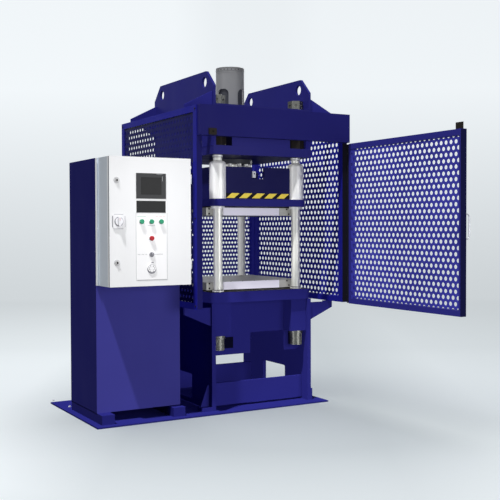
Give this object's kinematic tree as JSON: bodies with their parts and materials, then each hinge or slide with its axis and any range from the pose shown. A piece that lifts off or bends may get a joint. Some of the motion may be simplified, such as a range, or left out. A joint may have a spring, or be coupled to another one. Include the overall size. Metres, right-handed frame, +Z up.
{
  "type": "hydraulic press",
  "caption": "Four-column hot-platen hydraulic press with guided slide, perforated guards with a hinged guard door, and a control cabinet on a shared floor plate.",
  "frame": {"origin": "on the floor, midway between the four columns", "axes": "+X to the right along the front, +Y to the back, +Z up"},
  "size_m": [1.922, 2.41, 2.399],
  "materials": {
    "frame_paint": "satin, dark blue",
    "guard_paint": "satin, blue",
    "cabinet_paint": "satin, dark blue",
    "enclosure_paint": "fine textured, light grey",
    "column_chrome": "polished",
    "rod_chrome": "polished",
    "nut_steel": "turned",
    "hood_steel": "satin, grey",
    "platen_steel": "ground",
    "shield_paint": "satin, white",
    "insulation_board": "matt",
    "black_plastic": "matt",
    "handle_aluminium": "satin",
    "plate_aluminium": "satin",
    "green_plastic": "gloss",
    "red_plastic": "gloss",
    "lock_metal": "satin",
    "switch_white": "matt"
  },
  "bodies": {
    "press": {"base_plate": "frame_paint", "bed_plate": "frame_paint", "cabinet": "cabinet_paint", "column_back_left": "column_chrome", "column_back_right": "column_chrome", "column_front_left": "column_chrome", "column_front_right": "column_chrome", "column_nuts": "nut_steel", "crosshead_cap": "frame_paint", "crosshead_plate": "frame_paint", "crosshead_webs": "frame_paint", "cylinder": "frame_paint", "cylinder_hood": "hood_steel", "door_hinges": "nut_steel", "enclosure_body": "enclosure_paint", "foot_gussets": "frame_paint", "frame_webs": "frame_paint", "front_cover": "frame_paint", "guard_back_frame": "guard_paint", "guard_back_sheet": "guard_paint", "guard_brackets": "frame_paint", "guard_left_frame": "guard_paint", "guard_left_sheet": "guard_paint", "guard_right_frame": "guard_paint", "guard_right_sheet": "guard_paint", "insulation_lower": "insulation_board", "interlock_switch": "black_plastic", "lifting_plate_left": "frame_paint", "lifting_plate_right": "frame_paint", "mounting_plate": "plate_aluminium", "oil_tank": "cabinet_paint", "platen_lower": "platen_steel", "pocket_nuts": "nut_steel", "pump_motor": "cabinet_paint", "shield_lower": "shield_paint", "side_plate_left": "frame_paint", "side_plate_right": "frame_paint"},
    "slide": {"slide_plate": "frame_paint", "slide_sleeves": "nut_steel", "slide_webs": "frame_paint", "platen_upper": "platen_steel", "insulation_upper": "insulation_board", "shield_upper": "shield_paint", "piston_rod": "rod_chrome"},
    "guard_door": {"door_frame": "guard_paint", "door_sheet": "guard_paint", "door_handle": "handle_aluminium", "door_actuator": "black_plastic"},
    "enclosure_door": {"enclosure_door": "enclosure_paint", "display_panel": "black_plastic", "control_plate": "plate_aluminium", "switch_plate": "switch_white"},
    "button_start": {"button_start": "green_plastic"},
    "button_close": {"button_close": "green_plastic"},
    "button_open": {"button_open": "green_plastic"},
    "button_stop": {"button_stop": "red_plastic"},
    "mode_selector": {"mode_selector": "black_plastic"},
    "lock_upper": {"lock_upper": "lock_metal"},
    "lock_lower": {"lock_lower": "lock_metal"},
    "main_switch": {"main_switch": "black_plastic"}
  },
  "joints": [
    {"name": "slide_stroke", "type": "slide", "parent": "press", "child": "slide", "axis": [0, 0, 1], "range_m": [-0.43, 0.02]},
    {"name": "guard_door_hinge", "type": "hinge", "parent": "press", "child": "guard_door", "pos_m": [0.6, -0.634, 1.2], "axis": [0, 0, 1], "range_deg": [-90, 20]},
    {"name": "enclosure_door_hinge", "type": "hinge", "parent": "press", "child": "enclosure_door", "pos_m": [-0.6265, -0.62, 1.2], "axis": [0, 0, 1], "range_deg": [0, 100]},
    {"name": "button_start_press", "type": "slide", "parent": "enclosure_door", "child": "button_start", "axis": [0, -1, 0], "range_m": [-0.004, 0], "stiffness_N_per_m": 800, "springref_m": 0.001},
    {"name": "button_close_press", "type": "slide", "parent": "enclosure_door", "child": "button_close", "axis": [0, -1, 0], "range_m": [-0.004, 0], "stiffness_N_per_m": 800, "springref_m": 0.001},
    {"name": "button_open_press", "type": "slide", "parent": "enclosure_door", "child": "button_open", "axis": [0, -1, 0], "range_m": [-0.004, 0], "stiffness_N_per_m": 800, "springref_m": 0.001},
    {"name": "button_stop_press", "type": "slide", "parent": "enclosure_door", "child": "button_stop", "axis": [0, -1, 0], "range_m": [-0.004, 0], "stiffness_N_per_m": 800, "springref_m": 0.001},
    {"name": "mode_selector_turn", "type": "hinge", "parent": "enclosure_door", "child": "mode_selector", "pos_m": [-0.905, -0.626, 1.075], "axis": [0, -1, 0], "range_deg": [-45, 45]},
    {"name": "lock_upper_turn", "type": "hinge", "parent": "enclosure_door", "child": "lock_upper", "pos_m": [-1.134, -0.626, 1.533], "axis": [0, -1, 0], "range_deg": [0, 90]},
    {"name": "lock_lower_turn", "type": "hinge", "parent": "enclosure_door", "child": "lock_lower", "pos_m": [-1.134, -0.626, 1.027], "axis": [0, -1, 0], "range_deg": [0, 90]},
    {"name": "main_switch_turn", "type": "hinge", "parent": "enclosure_door", "child": "main_switch", "pos_m": [-1.122, -0.626, 1.28], "axis": [0, -1, 0], "range_deg": [-90, 0]}
  ]
}
